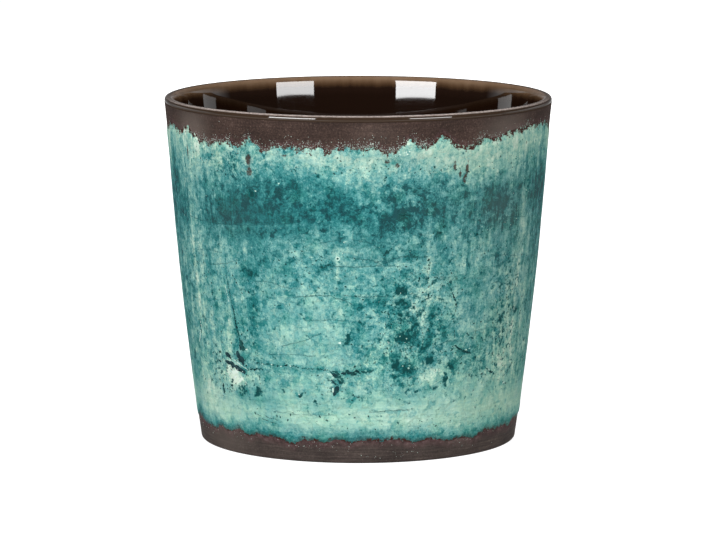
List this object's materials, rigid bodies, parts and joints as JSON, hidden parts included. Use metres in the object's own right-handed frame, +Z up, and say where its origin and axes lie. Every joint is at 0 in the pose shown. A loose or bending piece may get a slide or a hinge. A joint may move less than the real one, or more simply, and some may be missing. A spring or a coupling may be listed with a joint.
{
  "type": "plant pot",
  "caption": "Tapered round stoneware cover pot, mottled turquoise glaze with ragged edges between bare brown rim and foot bands, glossy brown lining; holds a potted plant.",
  "frame": {"origin": "middle of the foot ring, on the surface that the pot stands on", "axes": "+Z up along the pot's own axis of revolution, -Y towards the front side that the picture shows"},
  "size_m": [0.19, 0.19, 0.169],
  "materials": {
    "fired_clay": "satin bare stoneware with fine turning lines",
    "brown_glaze": "glossy",
    "turquoise_glaze": "satin, mottled and crazed"
  },
  "bodies": {
    "root": {"clay_body": "fired_clay", "lining_glaze": "brown_glaze", "turquoise_glaze": "turquoise_glaze"}
  },
  "joints": []
}
